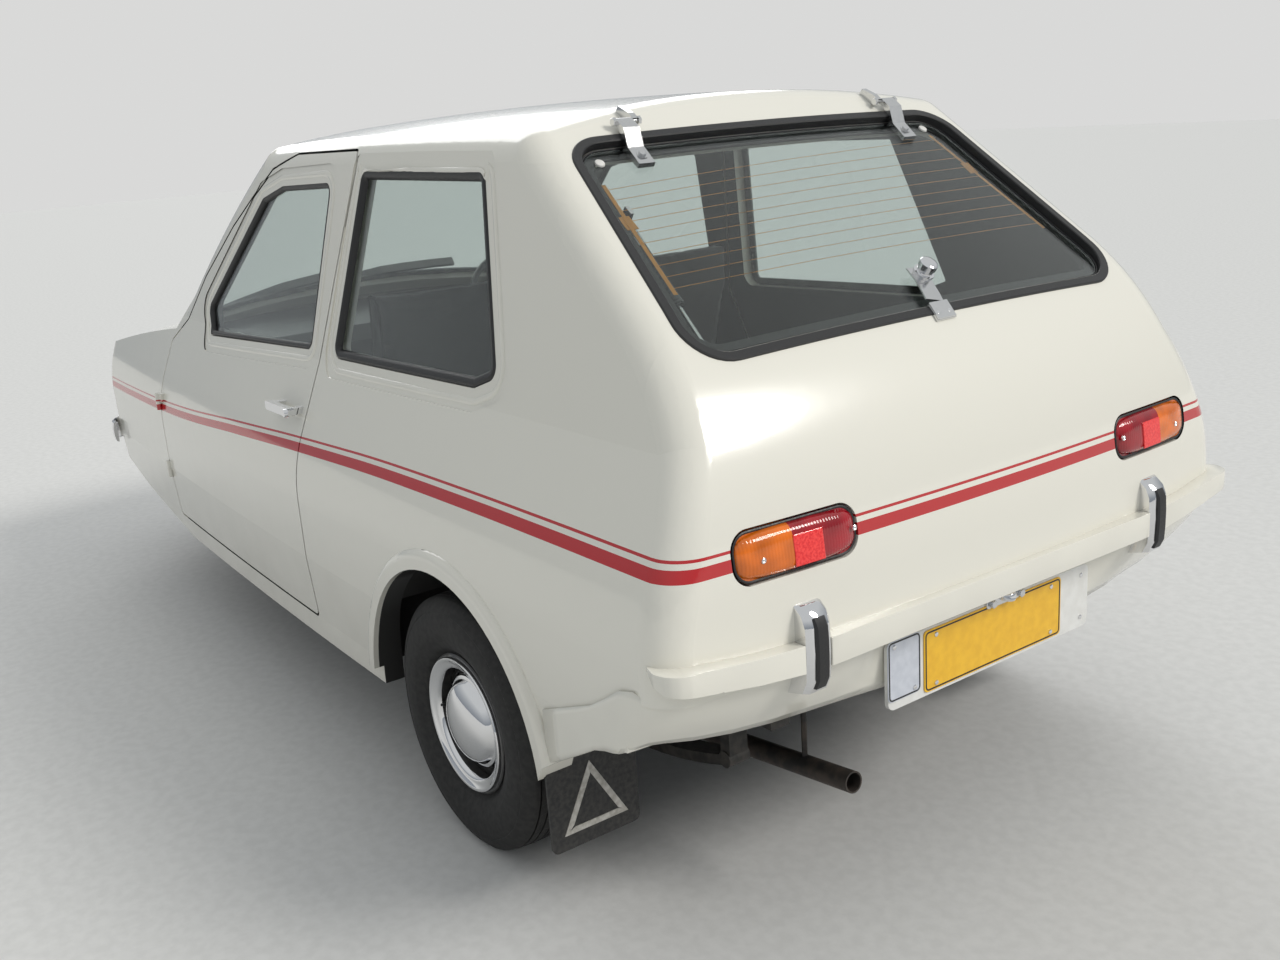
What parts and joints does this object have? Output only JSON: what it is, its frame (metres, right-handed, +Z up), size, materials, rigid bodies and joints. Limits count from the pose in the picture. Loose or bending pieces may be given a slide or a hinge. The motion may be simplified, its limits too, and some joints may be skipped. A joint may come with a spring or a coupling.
{
  "type": "three wheeled car",
  "caption": "Small three wheeled hatchback with one steered wheel in front, hinged doors, bonnet and glass hatch, and turning wheels.",
  "frame": {"origin": "On the ground, under the middle of the car's length and width.", "axes": "+X is forward, +Y is the car's left, +Z is up."},
  "size_m": [3.3269, 1.422, 1.3599],
  "materials": {
    "paint": "gloss",
    "glass": "clear",
    "chrome": "polished",
    "lamp_glass": "ribbed",
    "tail_plastic": "gloss",
    "black_metal": "satin",
    "bright_steel": "polished",
    "wheel_paint": "satin",
    "tyre": "matt",
    "moulding": "matt",
    "black_plastic": "matt",
    "seat_cloth": "woven",
    "rubber": "matt",
    "white_board": "gloss",
    "engine_iron": "rough",
    "exhaust_steel": "matt"
  },
  "bodies": {
    "body": {"body_side_left": "paint", "body_side_right": "paint", "body_roof": "paint", "body_tail": "paint", "body_nose": "paint", "rear_bumper": "paint", "quarter_windows": "glass", "windscreen": "glass", "overriders": "chrome", "front_bumper": "chrome", "headlamps": "lamp_glass", "tail_lamps": "tail_plastic", "chassis_frame": "black_metal", "rear_axle": "black_metal", "rear_springs": "black_metal", "front_swing_arm": "black_metal", "front_damper": "black_metal", "prop_shaft": "black_metal", "fuel_tank": "black_metal", "hatch_brackets": "black_metal", "wipers": "black_metal", "steering_column": "black_metal", "floor_pan": "moulding", "front_wheel_box": "moulding", "engine_cover": "moulding", "dashboard": "black_plastic", "grille": "black_plastic", "rear_view_mirror": "black_plastic", "front_seats": "seat_cloth", "rear_seat": "seat_cloth", "mud_flaps": "rubber", "plate_board": "white_board", "engine_block": "engine_iron", "exhaust": "exhaust_steel"},
    "door_left": {"door_left": "paint", "door_window_left": "glass", "door_handle_left": "chrome"},
    "door_right": {"door_right": "paint", "door_window_right": "glass", "door_handle_right": "chrome"},
    "hatch": {"hatch_glass": "glass", "hatch_fittings": "chrome"},
    "strut_tube": {"strut_tube": "black_metal"},
    "strut_rod": {"strut_rod": "bright_steel"},
    "bonnet": {"bonnet": "paint"},
    "steering_wheel": {"steering_wheel": "black_plastic"},
    "front_fork": {"front_stub_axle": "black_metal"},
    "wheel_front": {"rim_front": "wheel_paint", "tyre_front": "tyre"},
    "wheel_rear_left": {"rim_rear_left": "wheel_paint", "tyre_rear_left": "tyre"},
    "wheel_rear_right": {"rim_rear_right": "wheel_paint", "tyre_rear_right": "tyre"}
  },
  "joints": [
    {"name": "door_left_hinge", "type": "hinge", "parent": "body", "child": "door_left", "pos_m": [0.815, 0.66, 0.5], "axis": [0, 0, -1], "range_deg": [0, 65]},
    {"name": "door_right_hinge", "type": "hinge", "parent": "body", "child": "door_right", "pos_m": [0.815, -0.66, 0.5], "axis": [0, 0, 1], "range_deg": [0, 65]},
    {"name": "hatch_hinge", "type": "hinge", "parent": "body", "child": "hatch", "pos_m": [-1.09142, 0, 1.31777], "axis": [0, 1, 0], "range_deg": [0, 60]},
    {"name": "strut_swing", "type": "hinge", "parent": "hatch", "child": "strut_tube", "pos_m": [-1.20667, 0.422, 1.16331], "axis": [0, 1, 0], "range_deg": [-90, 0]},
    {"name": "strut_slide", "type": "slide", "parent": "strut_tube", "child": "strut_rod", "axis": [-0.727, 0, -0.6866], "range_m": [0, 0.109]},
    {"name": "bonnet_hinge", "type": "hinge", "parent": "body", "child": "bonnet", "pos_m": [0.9, 0, 0.851], "axis": [0, -1, 0], "range_deg": [0, 55]},
    {"name": "steering_turn", "type": "hinge", "parent": "body", "child": "steering_wheel", "pos_m": [0.33, -0.318, 0.8], "axis": [0.8143, 0, -0.5804], "range_deg": [-430, 430]},
    {"name": "front_steer", "type": "hinge", "parent": "body", "child": "front_fork", "pos_m": [1.219, 0.03, 0.25], "axis": [0, 0, 1], "range_deg": [-35, 35]},
    {"name": "front_wheel_spin", "type": "hinge", "parent": "front_fork", "child": "wheel_front", "pos_m": [1.219, 0, 0.25], "axis": [0, 1, 0], "continuous": true},
    {"name": "rear_left_spin", "type": "hinge", "parent": "body", "child": "wheel_rear_left", "pos_m": [-0.94, 0.6225, 0.25], "axis": [0, 1, 0], "continuous": true},
    {"name": "rear_right_spin", "type": "hinge", "parent": "body", "child": "wheel_rear_right", "pos_m": [-0.94, -0.6225, 0.25], "axis": [0, 1, 0], "continuous": true}
  ],
  "couplings": [
    {"joint": "strut_swing", "follows": "hatch_hinge", "ratio": -1.4313},
    {"joint": "strut_slide", "follows": "hatch_hinge", "m_per_rad": 0.10292},
    {"joint": "steering_turn", "follows": "front_steer", "ratio": 12}
  ]
}
